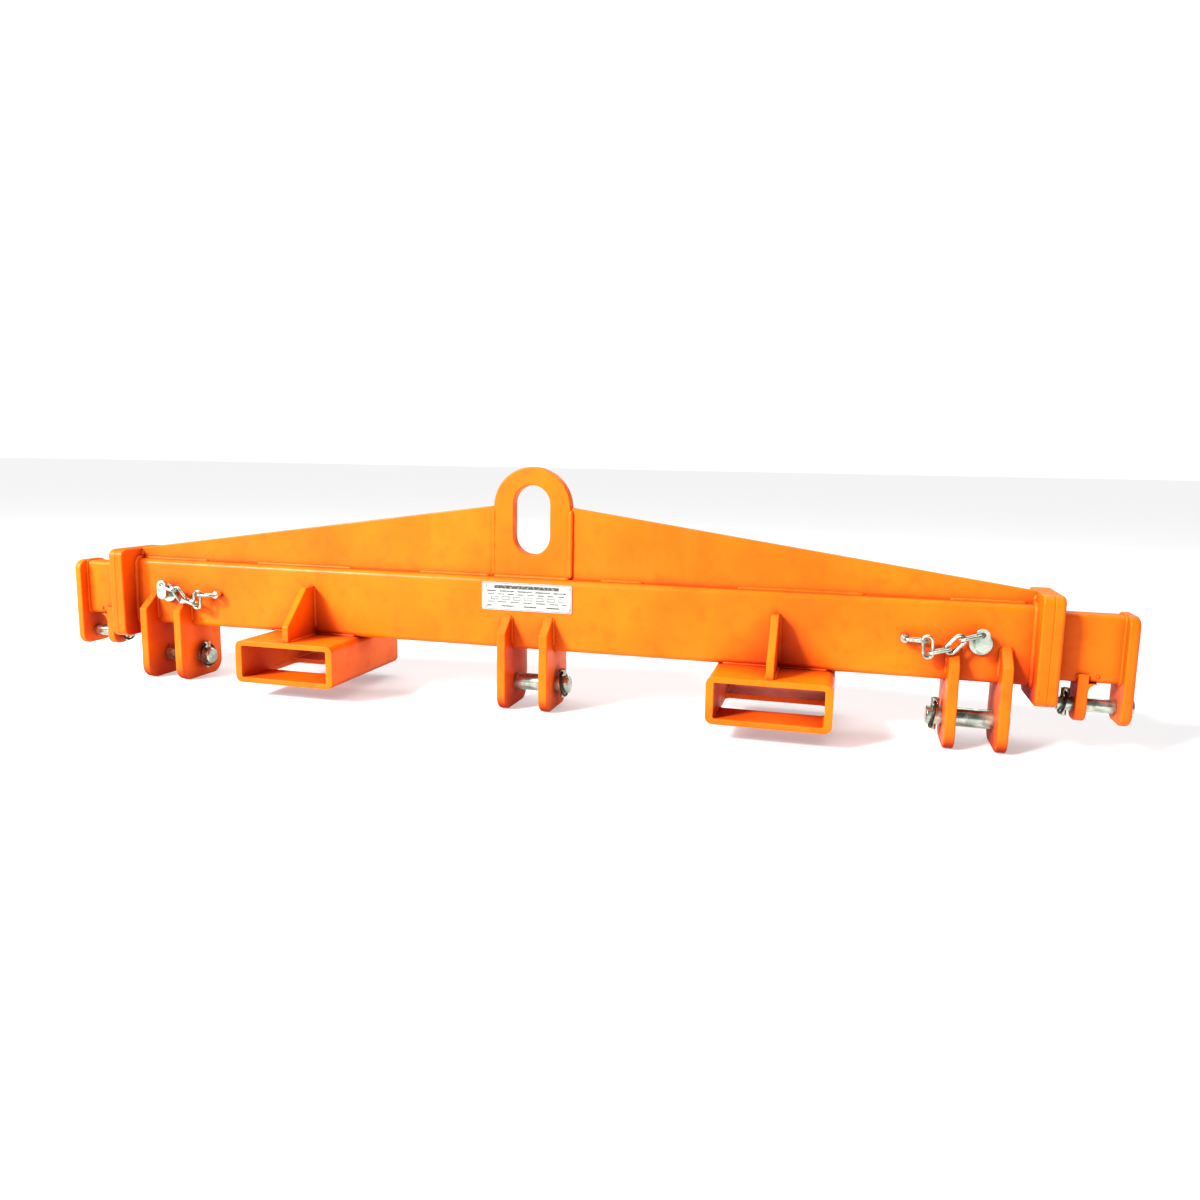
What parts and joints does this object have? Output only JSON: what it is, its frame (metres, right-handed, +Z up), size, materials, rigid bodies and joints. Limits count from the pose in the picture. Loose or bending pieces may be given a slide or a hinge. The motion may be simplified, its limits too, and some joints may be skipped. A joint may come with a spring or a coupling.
{
  "type": "spreader beam",
  "caption": "Welded box-section spreader beam with a tapered web and lifting eye, telescoping pinned arms, clevis lugs with lynch-pinned clevis pins, and fork pockets.",
  "frame": {"origin": "on the floor under the middle of the lifting eye, at the lower edge of the clevis lugs", "axes": "+X along the beam to its right-hand arm, +Y from the chained front face to the back, +Z up through the lifting eye"},
  "size_m": [1.919, 0.244, 0.422],
  "materials": {
    "orange_paint": "gloss enamel over welded steel",
    "zinc_steel": "bright zinc plate",
    "spring_steel": "blackened spring steel",
    "data_plate": "printed satin sheet",
    "rivet": "bright",
    "guide_pad": "moulded nylon"
  },
  "bodies": {
    "beam": {"main_beam_tube": "orange_paint", "lifting_eye_plate": "orange_paint", "web_plate_left": "orange_paint", "end_collar_inner_left": "orange_paint", "end_collar_outer_left": "orange_paint", "fork_pocket_left": "orange_paint", "pocket_gusset_front_left": "orange_paint", "pocket_gusset_back_left": "orange_paint", "web_plate_right": "orange_paint", "end_collar_inner_right": "orange_paint", "end_collar_outer_right": "orange_paint", "fork_pocket_right": "orange_paint", "pocket_gusset_front_right": "orange_paint", "pocket_gusset_back_right": "orange_paint", "clevis_lug_left_a": "orange_paint", "clevis_lug_left_b": "orange_paint", "clevis_lug_centre_a": "orange_paint", "clevis_lug_centre_b": "orange_paint", "clevis_lug_right_a": "orange_paint", "clevis_lug_right_b": "orange_paint", "data_plate": "data_plate", "plate_rivets": "rivet", "chain_anchor_left": "zinc_steel", "chain_anchor_right": "zinc_steel", "pin_chain_left": "zinc_steel", "pin_chain_right": "zinc_steel"},
    "arm_left": {"arm_tube_left": "orange_paint", "arm_end_plate_left": "orange_paint", "arm_inner_lug_left": "orange_paint", "arm_guide_pads_left": "guide_pad"},
    "locking_pin_left": {"locking_pin_left": "zinc_steel"},
    "arm_right": {"arm_tube_right": "orange_paint", "arm_end_plate_right": "orange_paint", "arm_inner_lug_right": "orange_paint", "arm_guide_pads_right": "guide_pad"},
    "locking_pin_right": {"locking_pin_right": "zinc_steel"},
    "clevis_pin_left": {"clevis_pin_left": "zinc_steel", "lynch_pin_left": "zinc_steel"},
    "lynch_ring_left": {"lynch_ring_left": "spring_steel"},
    "clevis_pin_centre": {"clevis_pin_centre": "zinc_steel", "lynch_pin_centre": "zinc_steel"},
    "lynch_ring_centre": {"lynch_ring_centre": "spring_steel"},
    "clevis_pin_right": {"clevis_pin_right": "zinc_steel", "lynch_pin_right": "zinc_steel"},
    "lynch_ring_right": {"lynch_ring_right": "spring_steel"},
    "clevis_pin_arm_left": {"clevis_pin_arm_left": "zinc_steel", "lynch_pin_arm_left": "zinc_steel"},
    "lynch_ring_arm_left": {"lynch_ring_arm_left": "spring_steel"},
    "clevis_pin_arm_right": {"clevis_pin_arm_right": "zinc_steel", "lynch_pin_arm_right": "zinc_steel"},
    "lynch_ring_arm_right": {"lynch_ring_arm_right": "spring_steel"}
  },
  "joints": [
    {"name": "arm_left_extend", "type": "slide", "parent": "beam", "child": "arm_left", "axis": [-1, 0, 0], "range_m": [0, 0.4]},
    {"name": "locking_pin_left_pull", "type": "slide", "parent": "beam", "child": "locking_pin_left", "axis": [0, -1, 0], "range_m": [0, 0.07], "deforming": ["pin_chain_left"]},
    {"name": "arm_right_extend", "type": "slide", "parent": "beam", "child": "arm_right", "axis": [1, 0, 0], "range_m": [0, 0.4]},
    {"name": "locking_pin_right_pull", "type": "slide", "parent": "beam", "child": "locking_pin_right", "axis": [0, -1, 0], "range_m": [0, 0.07], "deforming": ["pin_chain_right"]},
    {"name": "clevis_pin_left_turn", "type": "hinge", "parent": "beam", "child": "clevis_pin_left", "pos_m": [-0.6785, 0, 0.042], "axis": [1, 0, 0], "continuous": true},
    {"name": "lynch_ring_left_open", "type": "hinge", "parent": "clevis_pin_left", "child": "lynch_ring_left", "pos_m": [-0.6785, 0, 0.064], "axis": [0, -1, 0], "range_deg": [0, 120]},
    {"name": "clevis_pin_centre_turn", "type": "hinge", "parent": "beam", "child": "clevis_pin_centre", "pos_m": [0.0565, 0, 0.042], "axis": [1, 0, 0], "continuous": true},
    {"name": "lynch_ring_centre_open", "type": "hinge", "parent": "clevis_pin_centre", "child": "lynch_ring_centre", "pos_m": [0.0565, 0, 0.064], "axis": [0, -1, 0], "range_deg": [0, 120]},
    {"name": "clevis_pin_right_turn", "type": "hinge", "parent": "beam", "child": "clevis_pin_right", "pos_m": [0.6785, 0, 0.042], "axis": [1, 0, 0], "continuous": true},
    {"name": "lynch_ring_right_open", "type": "hinge", "parent": "clevis_pin_right", "child": "lynch_ring_right", "pos_m": [0.6785, 0, 0.064], "axis": [0, 1, 0], "range_deg": [0, 120]},
    {"name": "clevis_pin_arm_left_turn", "type": "hinge", "parent": "arm_left", "child": "clevis_pin_arm_left", "pos_m": [-0.8655, 0, 0.078], "axis": [1, 0, 0], "continuous": true},
    {"name": "lynch_ring_arm_left_open", "type": "hinge", "parent": "clevis_pin_arm_left", "child": "lynch_ring_arm_left", "pos_m": [-0.8655, 0, 0.096], "axis": [0, -1, 0], "range_deg": [0, 20]},
    {"name": "clevis_pin_arm_right_turn", "type": "hinge", "parent": "arm_right", "child": "clevis_pin_arm_right", "pos_m": [0.8655, 0, 0.078], "axis": [1, 0, 0], "continuous": true},
    {"name": "lynch_ring_arm_right_open", "type": "hinge", "parent": "clevis_pin_arm_right", "child": "lynch_ring_arm_right", "pos_m": [0.8655, 0, 0.096], "axis": [0, 1, 0], "range_deg": [0, 20]}
  ]
}
